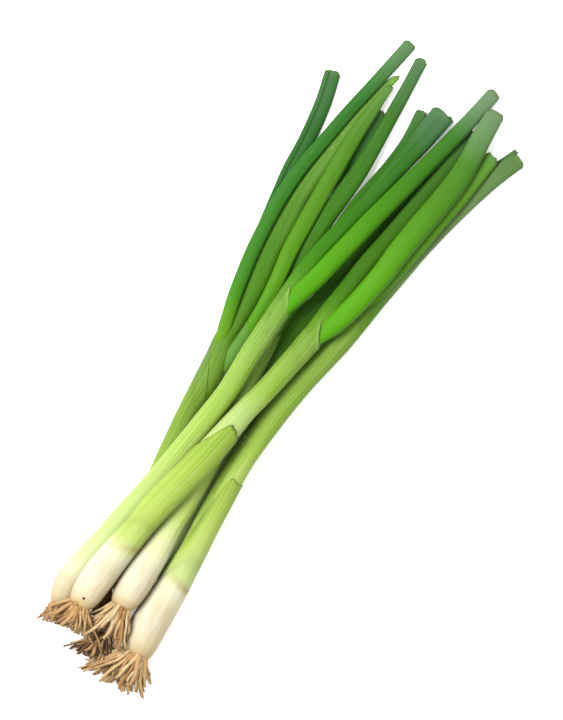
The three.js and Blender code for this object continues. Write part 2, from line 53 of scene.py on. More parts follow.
# Route rows are (x, y, width, flatness) on the plan. green is where the white ends and collar
# where the youngest leaf comes out. warm makes the green more yellow, and dull greyer. light is
# how pale the sheath is at its low and its high end, and leafLight the outer leaf at its foot and
# tip; both are partly the piece's own tone and partly painted light and shade for how it lies in
# the bunch. fade is how gradually the white ends, in metres. tan is how brown the bulb is, and
# ring the brown ring on it, tilted by ringTilt metres. crease and ragged shape the leaf and its cut tip.
# bridge is a stretch whose height isn't read from the CAD, because a foot cuts it there.
stalks = {
    "onion_6_stalk": {
        "green": (118, 564), "collar": (219, 326), "warm": 0.12, "light": (0.5, -0.5),
        "leafLight": (-0.4, 0.9), "ragged": 0.6, "crease": 0.22, "fade": 0.012, "tan": 0.2,
        "bridge": ((205, 378), (252, 290)),
        "route": [
            (103, 591, 11), (105, 587, 17), (109, 580, 20.5), (116, 568, 22), (127, 548, 21.5),
            (141, 517, 21), (153, 488, 21), (165, 460, 21), (177, 434, 21), (190, 408, 21.5),
            (205.5, 383, 27.5, 0.93), (216.5, 361, 26.5, 0.88), (225, 338, 21, 0.8),
            (238, 318, 19, 0.65), (248, 300, 19.5, 0.55), (259, 278.5, 21, 0.5),
            (271.5, 250.5, 21, 0.45), (287.5, 220.5, 22, 0.42), (296, 203, 18.5, 0.42),
            (305, 188, 18, 0.45), (323.5, 162, 16.5, 0.45), (341.5, 136, 13, 0.5),
            (359.5, 115.5, 11, 0.6), (377.5, 95, 9.5, 0.62), (389, 83, 9, 0.6), (399, 75, 5, 0.6),
        ],
    },
    "onion_5_stalk": {
        "green": (140, 577), "collar": (255, 395), "warm": 0.0, "light": (0.8, 0.5),
        "leafLight": (0.2, 0.1), "ragged": 1.0, "crease": 0.15, "fade": 0.012, "tan": 0.3,
        "route": [
            (103, 638, 10), (105, 634, 15), (109, 627, 18), (116, 614, 19.5), (129.5, 593.5, 21),
            (155, 565, 24), (181.5, 533.5, 23), (203.5, 501, 22), (217, 471, 19.5), (231, 448, 22),
            (245, 421, 23, 0.92), (259, 389.5, 22, 0.85), (274, 355, 19, 0.7), (297, 323.5, 21.5, 0.55),
            (318.5, 302, 18, 0.5), (340, 276, 15, 0.5), (362, 251, 15, 0.5), (385, 228, 15, 0.5),
            (425, 187, 15, 0.5), (445, 165, 14.5, 0.5), (463, 142, 13, 0.5),
        ],
    },
    "onion_4_stalk": {
        "green": (180, 582), "collar": (360, 318), "warm": 0.1, "light": (0.4, -0.25), "leafDull": 1.3,
        "leafLight": (0.55, -0.6), "ragged": 0.8, "crease": 0.12, "fade": 0.004, "tan": 0.08,
        "ring": 1.0, "ringTilt": 0.0026, "bridge": ((344, 338), (392, 282)),
        "route": [
            (134, 656.5, 26), (136.5, 651, 33.5), (141, 640, 37), (147, 628, 38), (154, 616, 38),
            (162, 603, 36.5), (172, 588, 33.5), (182, 571, 30), (192, 553, 28), (204, 529, 26.5),
            (217, 505, 26), (240, 463, 25.5), (265.5, 426.5, 26), (284.5, 402.5, 25.5),
            (304, 380, 24.5), (322, 361, 24.5), (340, 342, 24, 0.92), (358, 321, 23, 0.85),
            (376, 300, 21, 0.7), (400, 273, 19.5, 0.55), (418, 252, 19, 0.5), (434, 235, 18.5, 0.48),
            (455, 214, 18, 0.47), (476, 194, 18, 0.46), (502, 172, 18, 0.45), (521, 158.5, 17, 0.45),
        ],
    },
    "onion_3_stalk": {
        "green": (165, 536), "collar": (276, 335), "warm": 0.05, "light": (0.0, 0.08),
        "leafLight": (-0.45, 0.0), "ragged": 0.8, "crease": 0.12, "fade": 0.013, "tan": 0.05,
        "route": [
            (120.5, 607.5, 20), (123.5, 602, 28), (129, 593, 32), (136, 582, 33), (144, 569, 32.5),
            (153, 555, 30.5), (163, 539, 27.5), (173, 523, 25), (184, 506, 23.5), (197, 484, 22.5),
            (210, 460, 22), (225, 430, 21.5), (238, 400, 21.5), (248, 380, 21, 0.92),
            (258, 361, 20.5, 0.88), (268, 342, 19, 0.8), (276, 321, 17, 0.68), (283, 298, 16, 0.6),
            (291, 276, 15.5, 0.57), (301, 257, 15.5, 0.55), (314, 237, 17.5, 0.55),
            (329.5, 213, 19, 0.52), (345.8, 190.5, 18.5, 0.52), (361.3, 168.5, 17, 0.52),
            (375, 145.5, 15.5, 0.52), (391, 117, 14, 0.55), (406, 90, 13, 0.55), (423, 58, 13, 0.55),
        ],
    },
    "onion_1_stalk": {
        "green": (97, 550), "collar": (285.5, 303), "warm": 0.0, "light": (0.55, -0.05), "dull": 0.1,
        "leafLight": (-0.1, 0.0), "ragged": 1.7, "crease": 0.1, "fade": 0.014, "tan": 0.5,
        "route": [
            (59, 606, 18), (60.5, 601, 25), (64, 594, 28.5), (69, 584, 31), (77, 572, 31),
            (89, 558, 29), (104, 541, 26), (118, 524, 24.5), (133, 507, 24), (149, 489, 23.5),
            (177.5, 455.5, 23.2), (205.3, 420.8, 22.8), (229.6, 388.6, 21.3), (250.6, 354.3, 22),
            (267, 330, 22.5, 0.92), (281, 308, 21, 0.85), (297, 282, 18.5, 0.68), (318, 254, 17, 0.58),
            (343.5, 226.5, 16.3, 0.57), (369.5, 199.5, 16, 0.55), (395, 170, 19.5, 0.5),
            (420, 142, 23, 0.45), (445, 112, 25, 0.4),
        ],
    },
    "onion_2_stalk": {
        "green": (124, 545), "collar": (316.5, 331.5), "warm": 0.12, "light": (0.0, -0.05),
        "leafLight": (-0.65, -0.5), "ragged": 1.0, "crease": 0.1, "fade": 0.005, "tan": 0.12,
        "ring": 0.8, "ringTilt": -0.003,
        "route": [
            (79, 606, 20), (82.5, 600.5, 28), (88, 592, 32), (94, 583, 33), (102, 572, 33.5),
            (112, 559, 32), (128, 540, 29.5), (150, 514, 28), (170, 492, 27.5), (190, 472, 27),
            (208, 453, 26.5), (229, 429, 24.5), (245, 411, 22.5), (263, 393, 22), (284, 370, 22.5),
            (304, 347, 23.5, 0.93), (317, 331, 23, 0.85), (330, 311, 19, 0.68), (346, 290, 17, 0.57),
            (368, 262, 17, 0.54), (390, 237, 17, 0.52), (415, 207, 16, 0.5), (442, 174, 15.5, 0.5),
            (474, 131, 14, 0.45),
        ],
    },
}

# Leaves from a collar. fresh is how bright the foot is, tipFade how far the tip has greyed, line
# painted shade along the leaf's crease, foot how pale and how yellow it starts, and filmEnd where a
# dull film on its foot ends. light is partly the leaf's own tone and partly painted light and shade.
leaves = {
    "onion_6_leaf_2": {
        "warm": -0.45, "light": -0.28, "fresh": 0.1, "tipFade": 0.1, "crease": 0.5, "line": 0.8,
        "route": [
            (211, 362, 11, 0.6), (220, 340, 14, 0.55), (232, 306, 15, 0.5), (247, 268, 15, 0.5),
            (262, 233, 15, 0.5), (277, 199, 16, 0.5), (291, 168, 17, 0.48), (303, 146.5, 17, 0.45),
            (315.5, 120.5, 17, 0.42), (324.5, 98.5, 17, 0.42), (333.5, 69.5, 16.5, 0.42),
        ],
    },
    "onion_6_leaf_1": {
        "warm": -0.25, "light": -0.05, "tipFade": 0.45, "foot": (0.12, 0.7), "crease": 0.12,
        "route": [
            (204, 388, 8, 0.8), (211.5, 368, 11, 0.8), (217.5, 350, 12.5, 0.78),
            (224.5, 329, 13.5, 0.72), (232.5, 302, 14.5, 0.68), (241, 279, 14.5, 0.65),
            (253, 250, 14.5, 0.62), (268, 220, 14.5, 0.6), (284, 192, 14.5, 0.6), (303, 165, 14, 0.6),
            (325, 139, 13.5, 0.6), (348, 112, 13, 0.6), (370, 88, 13, 0.58), (390, 66, 13.5, 0.55),
            (412, 41.5, 13.5, 0.52),
        ],
    },
    "onion_5_leaf_1": {
        "warm": 0.0, "light": -0.12, "crease": 0.2,
        "route": [
            (247, 399, 9, 0.8), (262, 371, 10, 0.7), (277, 338, 11, 0.6), (292, 300, 11.5, 0.55),
            (309, 257, 11.5, 0.5), (329, 211, 11.5, 0.5), (345, 180, 11.5, 0.5), (357, 158, 11.5, 0.5),
            (369, 135, 11, 0.5), (382, 110, 9.5, 0.5),
        ],
    },
    "onion_3_leaf_1": {
        "warm": 0.15, "light": -0.3, "fresh": 0.2, "crease": 0.25,
        "route": [
            (259, 359, 10, 0.75), (268, 343, 12, 0.7), (281, 322, 13.5, 0.62), (296, 300, 14, 0.57),
            (316, 270, 13.5, 0.53), (336, 235, 14.5, 0.5), (356, 205.5, 14, 0.55), (371, 188, 14, 0.55),
            (389, 167, 13.5, 0.55), (407, 141.5, 12.3, 0.5), (423, 110, 12, 0.5),
        ],
    },
    "onion_4_leaf_2": {
        "warm": -0.5, "light": -0.2, "tipFade": 0.3, "crease": 0.3,
        "route": [
            (356, 322, 12, 0.5), (373, 301, 12, 0.42), (398, 271, 12, 0.4), (430, 234, 12, 0.4),
            (469, 194, 12, 0.4), (496, 169, 11, 0.4), (518, 150, 6, 0.45),
        ],
    },
    "onion_4_leaf_1": {
        "warm": 0.2, "light": 0.3, "fresh": 0.2, "crease": 0.2,
        "route": [
            (350, 324, 15, 0.8), (369, 302, 16, 0.72), (389, 280, 16, 0.65), (410, 256, 16, 0.6),
            (425, 239, 16, 0.58), (440, 221, 16, 0.56), (456, 203, 16, 0.55), (470, 186, 16, 0.55),
            (493.5, 156, 16, 0.5),
        ],
    },
    "onion_6_leaf_3": {
        "warm": 0.35, "light": 0.08, "fresh": 0.35, "filmEnd": (252, 327), "crease": 0.15,
        "route": [
            (210, 381, 15.5, 0.8), (222.5, 368, 17, 0.78), (235.5, 350.5, 15, 0.72),
            (249, 331, 14.5, 0.66), (262, 310, 14.5, 0.62), (277, 281, 15.5, 0.6),
            (290, 251, 16.5, 0.56), (304, 225, 17, 0.55), (319, 198, 17, 0.54), (335, 170, 17, 0.53),
            (347, 149, 16.5, 0.52), (358, 131, 15.5, 0.5), (369, 115, 13.5, 0.5), (381, 98, 10.5, 0.5),
            (391.5, 85, 7, 0.55),
        ],
    },
    "onion_1_leaf_1": {
        "warm": 0.1, "light": -0.06, "fresh": 1.0, "tipFade": 1.0, "crease": 0.05,
        "route": [
            (271, 327, 17, 0.85), (288, 306, 19, 0.8), (302, 292, 19.5, 0.74), (318, 277, 19.5, 0.68),
            (336, 258, 19.5, 0.64), (354, 239, 19.5, 0.6), (371, 221, 19.5, 0.58), (389, 203, 19, 0.56),
            (411, 181, 18.5, 0.55), (440, 152, 17, 0.55), (465, 126, 16.5, 0.55),
            (496, 91.5, 14.5, 0.5),
        ],
    },
    "onion_2_leaf_1": {
        "warm": 0.2, "light": 0.08, "fresh": 1.0, "tipFade": 0.8, "crease": 0.08,
        "route": [
            (303, 352, 17, 0.85), (320, 336, 19.5, 0.8), (335, 324, 20.5, 0.74), (350, 310, 21, 0.68),
            (367, 292, 21.5, 0.62), (384, 272, 22.5, 0.58), (399, 252, 23.5, 0.56),
            (417, 230, 24, 0.54), (440, 203, 23.5, 0.53), (458, 180, 23, 0.52), (471, 158.5, 21.5, 0.5),
            (482.5, 136.5, 21.5, 0.5), (497.5, 111.5, 18, 0.48),
        ],
    },
}

# Collars: the lip of the sheath that a leaf comes out of. back is how far the sleeve goes back,
# slant how far the lip falls away from its corner by the curve bow, film how dull its left side
# is, and pale how light its edge is.
collars = [
    {"on": "onion_1_stalk", "at": (289.5, 293), "back": 0.03, "slant": 0.0084, "corner": -0.1,
     "bow": 0.7, "flare": 0.0003, "film": 0.1, "pale": 0.3},
    {"on": "onion_2_stalk", "at": (319, 326.5), "back": 0.03, "slant": 0.0083, "corner": -0.05,
     "bow": 0.7, "flare": 0.0003, "film": 0.1, "pale": 0.3},
    {"on": "onion_6_stalk", "at": (227, 322), "back": 0.05, "slant": 0.042, "corner": -0.98,
     "bow": 0.5, "flare": 0.0, "film": 1.3, "pale": 0.0},
]

# Torn outer skins: where the skin ends on the right and left of the stalk, in metres from its
# place, by the curve sweep. bare is how much paler the bared stalk is, line how dark a painted
# shadow makes the torn edge, and the bared strip's value how much painted shade deepens its green on the
# left.
skins = [
    {"on": "onion_2_stalk", "at": (236, 427), "right": -0.004, "left": -0.02, "sweep": 1.2,
     "lift": 0.0009, "ragged": 0.0012, "bare": 0.45, "line": 0.85, "shadedStrip": 0.0},
    {"on": "onion_4_stalk", "at": (234, 479), "right": -0.001, "left": -0.05, "sweep": 1.3,
     "lift": 0.0005, "ragged": 0.0008, "bare": 0.25, "line": 0.2, "shadedStrip": 0.6},
]

# Small marks: a speck of soil on a bulb, pale crumbs by a torn skin and wrinkles on a leaf.
crumb, wrinkle = (228, 238, 200), (164, 196, 112)
marks = [
    {"on": "onion_2_stalk", "at": (85, 597), "radius": 0.0007, "colour": (60, 40, 25)},
    {"on": "onion_4_stalk", "at": (245, 437), "radius": 0.0005, "colour": crumb},
    {"on": "onion_4_stalk", "at": (242.5, 443), "radius": 0.0004, "colour": crumb},
    {"on": "onion_6_stalk", "at": (341.5, 130.5), "radius": 0.0004, "colour": wrinkle},
    {"on": "onion_6_stalk", "at": (343, 132.5), "radius": 0.0005, "colour": wrinkle},
    {"on": "onion_6_stalk", "at": (330.5, 148.5), "radius": 0.0004, "colour": wrinkle},
    {"on": "onion_6_stalk", "at": (333, 147), "radius": 0.0005, "colour": wrinkle},
]

# Root tufts: how many roots, how long, how wide a fan, how far they lean left, how dirty they
# are, how pale, how many thin strays they have, and how much shorter they are on the right.
tufts = {
    "onion_1_roots": {"seed": 3, "count": 100, "length": 0.0115, "spread": 0.6, "lean": -0.3,
                      "dirt": 0.1, "strays": 1, "tone": 0.35, "short": 0.0},
    "onion_2_roots": {"seed": 5, "count": 120, "length": 0.0145, "spread": 0.95, "lean": -0.3,
                      "dirt": 0.1, "strays": 1, "tone": 0.45, "short": 0.0},
    "onion_3_roots": {"seed": 9, "count": 100, "length": 0.022, "spread": 0.6, "lean": 0.0,
                      "dirt": 0.05, "strays": 0, "tone": 0.9, "short": 0.0},
    "onion_4_roots": {"seed": 2, "count": 150, "length": 0.02, "spread": 0.8, "lean": 0.22,
                      "dirt": 0.05, "strays": 1, "tone": 0.85, "short": 0.45},
    "onion_5_roots": {"seed": 8, "count": 100, "length": 0.0155, "spread": 1.0, "lean": 0.0,
                      "dirt": 0.6, "strays": 0, "tone": 0.7, "short": 0.0},
    "onion_6_roots": {"seed": 4, "count": 60, "length": 0.014, "spread": 0.9, "lean": 0.1,
                      "dirt": 0.25, "strays": 0, "tone": 0.4, "short": 0.0},
}

# The tube of a stalk or leaf: its first rows as (length along, share of the radius), the stretch
# where the leaf begins, the groove on top and the width of the painted shade along it, slow swellings, ribs
# and the slimmer foot of a leaf.
tube = {
    "footRows": [(0, 0), (0, 0.4), (0.0002, 0.7), (0.0008, 0.9), (0.00175, 1), (0.002625, 1)],
    "bodyFrom": 0.0035, "leafStart": (0, 0.05), "creaseAt": 0.45, "groove": 0.09, "line": 0.012,
    "depth": 0.7, "depthChange": 0.5, "depthPace": 40, "swell": 0.006, "swellPace": 60,
    "ripple": 0.012, "ripplePace": 150, "rib": 0.007, "ribs": 15, "ribPace": 25, "footOver": (0.004, 0.022),
}

# The cut leaf tips, in metres and shares: the hollow's depth and walls, the rounded corners, the
# ragged edge, the pinch, and where each of them begins and ends before the tip.
tips = {
    "hollow": 0.009, "floor": 0.001, "wall": 0.8, "innerWall": 0.776, "floorWall": 0.72, "innerAt": 0.003,
    "lip": 0.93, "lipOut": 0.0002, "rounding": 0.0017, "square": 5, "ragged": 0.0009, "teeth": 5.0,
    "notches": 2.0, "notchShare": 0.6, "pinch": 0.45, "pinchOver": (-0.012, 0), "over": (-0.02, -0.004),
    "cut": (-0.0016, -0.0002), "inside": 0.9,
}

# Where the lightness, browning and greying along a stalk or leaf begin and end, in metres. growth
# is how far a stalk has grown at its root end, either side of its green, its collar and its tip.
spans = {
    "growth": (0, 0.87, 1.13, 2, 3),
    "leaf": (0, 0.03), "tan": (-0.01, 0.01), "bare": 0.03, "stripStart": (-0.055, -0.02),
    "stripEnd": (0.01, 0.05), "stripSide": (0.05, 0.6), "lowPower": 3, "ringWidth": 0.0022,
    "ringLeft": 0.45, "ringRight": 0.55, "fresh": (0.02, 0.11), "tipFade": (-0.034, -0.004),
    "film": (-0.004, 0.001), "filmTilt": 0.003, "filmGrey": 0.6, "warm": (0.012, 0.07),
    "footWarm": (0.022, 0.06), "footLight": (0.02, 0.09), "slimFoot": 0.3,
}

# Collar sleeves: how far before the lip they follow the stalk, in metres, how the lip rises
# behind its corner, the sleeve's outer and inner lift, and its tucked and flared edges.
sleeve = {
    "hold": 0.009, "measure": 0.006, "rise": 0.006, "riseTo": 0.5, "wave": 0.0002, "wavePace": 4,
    "spacing": 0.8, "outer": 0.00013, "inner": -0.0002, "start": 0.0005, "startOver": (0, 0.5),
    "tuck": 0.0006, "tuckOver": (0.5, 1), "tuckTo": 0.3, "flareOver": (0.6, 1), "round": 0.95,
    "followOver": (0, 0.5), "floor": 0.0002, "paleOver": (0.8, 1), "filmAlong": (0.1, 0.9),
    "filmSide": (0.35, 0.9),
}

# Torn skins: how far before the green they begin, their spacing and waves, how they lift off.
tear = {
    "before": 0.008, "spacing": 0.7, "wavePaces": (6, 17), "inner": -0.0002, "liftOver": (0, 0.5),
    "start": 0.0004, "startOver": (0, 0.3), "hug": 0.55, "hugTurn": 0.8, "floor": 0.0001, "warm": 0.2,
    "edge": 0.3, "edgeOver": (0.97, 0.99), "bareBack": 0.03, "shade": 0.14, "shadeOver": (0.3, 0.9),
    "lineOver": (0.988, 1),
}

# Roots, in metres and shares: size, taper, how far out they start, how they fall and curl. turn
# is the golden angle, which spreads them evenly over the plate.
root = {
    "radius": 0.00125, "taper": 0.66, "span": (1.08, 1.344), "climb": 0.0022, "floor": 0.0011,
    "turn": 2.399963, "reach": (0.45, 1.0), "thick": (0.6, 1.15), "strayReach": 1.35, "strayThick": 0.45,
    "drop": (0.3, 0.95), "curl": 0.3, "pace": (4, 8), "dirt": (0.4, 1.6), "shortOver": (0.6, 0.85),
    "sway": 0.001, "rise": 0.6, "ripple": 0.0004, "rippleRate": 1.3, "lump": 0.12, "lumps": 23,
    "clear": 0.0003,
}

# The base plate under a bulb: depth in metres, share of the bulb's end, its gap from the bulb,
# notches, and its profile as (share of the depth, share of the radius).
plate = {
    "depth": 0.0024, "share": 0.74, "gap": 0.0003, "rootsAt": 0.2, "notch": 0.05, "notches": 9,
    "dirt": 0.7, "tone": 0.9,
    "profile": [(0, 0), (0, 0.9), (0.15, 1), (0.6, 0.97), (0.9, 0.75), (1, 0.4), (1.02, 0)],
}

# Colours as they look under the stage's light, 0 to 255. Ramp stops are (place, colour). The side colours are
# painted shade on a piece's right side, and deep and pale are the painted shade and light that a piece's
# light mixes to, along with its own tone.
stalkPaint = {
    "ramp": [
        (0.0, (214, 180, 126)), (0.022, (228, 204, 156)), (0.07, (246, 234, 200)), (0.17, (252, 248, 222)),
        (0.29, (248, 247, 210)), (0.335, (232, 241, 172)), (0.38, (206, 229, 116)), (0.48, (178, 212, 78)),
        (0.58, (150, 194, 54)), (0.66, (112, 168, 28)), (0.70, (76, 148, 12)), (0.8, (56, 127, 14)),
        (0.93, (54, 117, 36)), (1.0, (90, 134, 98)),
    ],
    "vein": (236, 248, 184), "leafVein": (126, 178, 78), "dark": (128, 172, 36), "leafDark": (34, 92, 14),
    "side": (104, 146, 20), "leafShadedSide": (26, 74, 8), "tan": (214, 184, 126), "warm": (160, 184, 30),
    "dull": (146, 172, 118), "deep": (56, 112, 14), "pale": (228, 244, 184), "leafPale": (136, 190, 74),
    "edge": (186, 160, 94), "leafEdge": (84, 112, 62),
}
leafPaint = {
    "ramp": [
        (0.0, (134, 176, 62)), (0.08, (104, 166, 30)), (0.25, (72, 146, 12)), (0.55, (58, 132, 18)),
        (0.8, (54, 124, 34)), (0.95, (76, 136, 66)), (1.0, (90, 142, 84)),
    ],
    "fresh": (88, 172, 0), "warm": (120, 164, 26), "cool": (46, 112, 60), "vein": (140, 190, 84),
    "dark": (34, 94, 14), "side": (24, 76, 8), "deep": (22, 66, 10), "pale": (140, 196, 50),
    "grey": (128, 158, 118), "edge": (100, 118, 76),
}
rootPaint = {
    "ramp": [(0.0, (184, 134, 78)), (0.2, (212, 166, 108)), (0.5, (236, 200, 144)), (1.0, (250, 226, 178))],
    "grain": (166, 118, 68), "tip": (160, 112, 66), "mud": (84, 58, 38),
}

# The light on the bunch next to a colour's own brightness, the camera and the lamps. A lamp's
# place is to the right, up and away from the picture's middle, in metres.
stage = {
    "level": 2.1, "world": 0.75, "glow": 0.36, "height": 2.412, "lens": 240, "sensor": 36, "far": 20,
    "floor": 6, "floorLight": 0.9, "floorDark": 0.88,
    "lamps": [
        {"name": "Key", "place": (-0.5, 0.28, 1.06), "size": 0.6, "power": 26},
        {"name": "Fill", "place": (0.5, -0.2, 1.0), "size": 1.0, "power": 4},
    ],
}


# A shader number that can be added, multiplied and divided.
class Value:

    def __init__(self, shader, socket):
        self.shader = shader
        self.socket = socket

    def math(self, operation, *others):
        return self.shader.math(operation, self, *others)

    def __add__(self, other):
        return self.math("ADD", other)

    __radd__ = __add__

    def __sub__(self, other):
        return self.math("SUBTRACT", other)

    def __rsub__(self, other):
        return self.shader.math("SUBTRACT", other, self)

    def __mul__(self, other):
        return self.math("MULTIPLY", other)

    def __truediv__(self, other):
        return self.math("DIVIDE", other)

    def __neg__(self):
        return self.math("MULTIPLY", -1)

    def clamp(self):
        return self.math("MAXIMUM", 0).math("MINIMUM", 1)


# One material and the nodes that make it. The colours are those of its paint dictionary.
class Shader:

    def __init__(self, name, paint=None):
        self.material = bpy.data.materials.new(name)
        self.material.use_nodes = True
        self.tree = self.material.node_tree
        self.surface = self.tree.nodes["Principled BSDF"]
        self.paint = paint

    def node(self, kind, inputs=None, output=0, **settings):
        made = self.tree.nodes.new(kind)
        for key, value in settings.items():
            setattr(made, key, value)
        for key, value in (inputs or {}).items():
            self.feed(made.inputs[key], value)
        return Value(self, made.outputs[output])

    def feed(self, socket, value):
        if isinstance(value, Value):
            self.tree.links.new(value.socket, socket)
        else:
            socket.default_value = value

    def math(self, operation, *values):
        return self.node("ShaderNodeMath", dict(enumerate(values)), operation=operation)

    def mix(self, share, low, high):
        inputs = {0: share, 6: self.colour(low), 7: self.colour(high)}
        return self.node("ShaderNodeMix", inputs, 2, data_type="RGBA", blend_type="MIX", clamp_factor=True)

    def colour(self, choice):
        return tint(*self.paint[choice]) if isinstance(choice, str) else choice

    def layered(self, colour, leafy, layers):
        # Each layer has its share and its colour, and a second colour where it changes on the leaf.
        for share, tone, *leafTone in layers:
            if leafTone:
                tone = self.mix(leafy, tone, leafTone[0])
            colour = self.mix(share, colour, tone)
        return colour

    def attribute(self, name, output="Fac"):
        return self.node("ShaderNodeAttribute", None, output, attribute_name=name)

    def noise(self, vector, across, along, detail, rough=0.5):
        stretch = {0: vector, 1: (across, across, along)}
        stretched = self.node("ShaderNodeVectorMath", stretch, operation="MULTIPLY")
        inputs = {"Vector": stretched, "Scale": 1.0, "Detail": detail, "Roughness": rough}
        return self.node("ShaderNodeTexNoise", inputs, "Fac")

    def ramp(self, share):
        made = self.tree.nodes.new("ShaderNodeValToRGB")
        elements = made.color_ramp.elements
        first, *inner, last = [(place, tint(*colour)) for place, colour in self.paint["ramp"]]
        elements[0].position, elements[0].color = first
        elements[1].position, elements[1].color = last
        for place, colour in inner:
            elements.new(place).color = colour
        self.feed(made.inputs[0], share)
        return Value(self, made.outputs[0])

    def between(self, value, low, high):
        inputs = {"Value": value, "From Min": low, "From Max": high}
        return self.node("ShaderNodeMapRange", inputs, interpolation_type="SMOOTHSTEP")

    def bump(self, height, strength, distance):
        return self.node("ShaderNodeBump", {"Height": height, "Strength": strength, "Distance": distance})

    def finish(self, colour, roughness, normal=None, **constants):
        self.feed(self.surface.inputs["Base Color"], colour)
        self.feed(self.surface.inputs["Roughness"], roughness)
        if normal is not None:
            self.feed(self.surface.inputs["Normal"], normal)
        for key, value in constants.items():
            self.surface.inputs[key.replace("_", " ")].default_value = value
        return self.material


def tint(red, green, blue):
    # The linear colour of a surface that looks like this, 0 to 255, under the stage's light.
    parts = [c / 255 for c in (red, green, blue)]
    linear = [c / 12.92 if c <= 0.04045 else ((c + 0.055) / 1.055) ** 2.4 for c in parts]
    return (*[c / stage["level"] for c in linear], 1.0)


def planPoint(x, y):
    across = x - plan["centre"][0]
    down = y - plan["centre"][1]
    ax, ay = plan["axis"]
    return np.array([ax * down - ay * across, ax * across + ay * down]) * plan["scale"]


def ease(value, low, high):
    share = np.clip((value - low) / (high - low), 0, 1)
    return share * share * (3 - 2 * share)


def blend(low, high, share):
    return low + (high - low) * share


def softened(values, passes):
    for _ in range(passes):
        inner = 0.25 * values[:-2] + 0.5 * values[1:-1] + 0.25 * values[2:]
        values = np.concatenate([values[:1], inner, values[-1:]])
    return values


def around(u):
    return -0.5 * math.pi + u * math.tau


def skinPlace(angle, along):
    # Where the materials look up their streaks: round the piece and along it.
    return np.stack([np.cos(angle), np.sin(angle), along], -1)


def curveThrough(rows):
    # A centripetal curve through the plan points, with width and flatness between the rows.
    steps = detail["curveSteps"]
    sizes = [(width, *flatness, usual["flatness"])[:2] for _, _, width, *flatness in rows]
    points = [planPoint(*row[:2]) for row in rows]
    points = [2 * points[0] - points[1], *points, 2 * points[-1] - points[-2]]
    places, blended = [], []
    for i in range(1, len(points) - 2):
        p0, p1, p2, p3 = points[i - 1:i + 3]
        d0, d1, d2 = [np.linalg.norm(b - a) ** 0.5 for a, b in ((p0, p1), (p1, p2), (p2, p3))]
        m1 = d1 * ((p1 - p0) / d0 - (p2 - p0) / (d0 + d1) + (p2 - p1) / d1)
        m2 = d1 * ((p2 - p1) / d1 - (p3 - p1) / (d1 + d2) + (p3 - p2) / d2)
        cubic = 2 * p1 - 2 * p2 + m1 + m2
        square = 3 * p2 - 3 * p1 - 2 * m1 - m2
        for step in range(steps + (i == len(points) - 3)):
            t = step / steps
            places.append(p1 + t * (m1 + t * (square + t * cubic)))
            blended.append([blend(low, high, t) for low, high in zip(sizes[i - 1], sizes[i])])
    return np.array(places), np.array(blended)


# The centre line of a stalk or a leaf, with its size, evenly spaced along it.
class Strand:

    def __init__(self, name, spec):
        self.name = name
        self.spec = {**usual, **spec}
        places, sizes = curveThrough(spec["route"])
        runs = np.concatenate([[0], np.cumsum(np.linalg.norm(np.diff(places, axis=0), axis=1))])
        self.length = runs[-1]
        self.along = np.linspace(0, self.length, int(self.length / lie["spacing"]))
        self.x = np.interp(self.along, runs, places[:, 0])
        self.y = np.interp(self.along, runs, places[:, 1])
        half = 0.5 * plan["scale"] * np.interp(self.along, runs, sizes[:, 0])
        self.half = softened(half, lie["sizePasses"])
        self.rise = softened(half * np.interp(self.along, runs, sizes[:, 1]), lie["sizePasses"])
        self.z = np.zeros_like(self.along)

    def shift(self, dx, dy):
        self.x = self.x + dx
        self.y = self.y + dy

    def settle(self, node):
        # Heights are read from the underside of the CAD piece, and bridged where a foot cuts it.
        vertices = [v.co.copy() for v in node.data.vertices]
        polygons = [tuple(p.vertices) for p in node.data.polygons]
        tree = BVHTree.FromPolygons(vertices, polygons)
        margin = lie["spacing"]
        spots = np.linspace(margin, self.length - margin, int(self.length / lie["reading"]))
        bridge = [self.nearest(place) for place in self.spec["bridge"]] or [-1, -1]
        kept, heights = [], []
        for spot in spots:
            x, y = np.interp(spot, self.along, self.x), np.interp(spot, self.along, self.y)
            hit = tree.ray_cast(Vector((x, y, lie["below"])), Vector((0, 0, 1)))[0]
            if hit is not None and not bridge[0] < spot < bridge[1]:
                sunk = lie["flat"] if hit.z < lie["onFloor"] else 0.0
                kept.append(spot)
                heights.append(hit.z - sunk + np.interp(spot, self.along, self.rise))
        self.z = softened(np.interp(self.along, kept, heights), lie["heightPasses"])

    def nearest(self, place):
        x, y = planPoint(*place) + planShift
        return self.along[np.argmin((self.x - x) ** 2 + (self.y - y) ** 2)]

    def at(self, along):
        line = (self.x, self.y, self.z)
        return np.stack([np.interp(along, self.along, part) for part in line], -1)

    def frame(self, along):
        # Centre, side, up, tangent and size at lengths along the strand.
        inside = np.clip(along, 0, self.length)
        tangent = self.at(inside + lie["step"]) - self.at(inside - lie["step"])
        tangent = tangent / np.linalg.norm(tangent, axis=-1, keepdims=True)
        side = np.stack([tangent[..., 1], -tangent[..., 0], np.zeros_like(tangent[..., 0])], -1)
        side = side / np.linalg.norm(side, axis=-1, keepdims=True)
        up = np.cross(side, tangent)
        centre = self.at(inside) + (along - inside)[..., None] * tangent
        half = np.interp(inside, self.along, self.half)
        rise = np.interp(inside, self.along, self.rise)
        return centre, side, up, tangent, half, rise


def ringPoint(strand, along, angle, share=1.0, lift=0.0, crease=0.0):
    centre, side, up, _, half, rise = strand.frame(along)
    wide = (half + lift) * share * np.cos(angle)
    tall = (rise + lift) * share * np.sin(angle) * (1 - crease)
    return centre + side * wide[..., None] + up * tall[..., None]


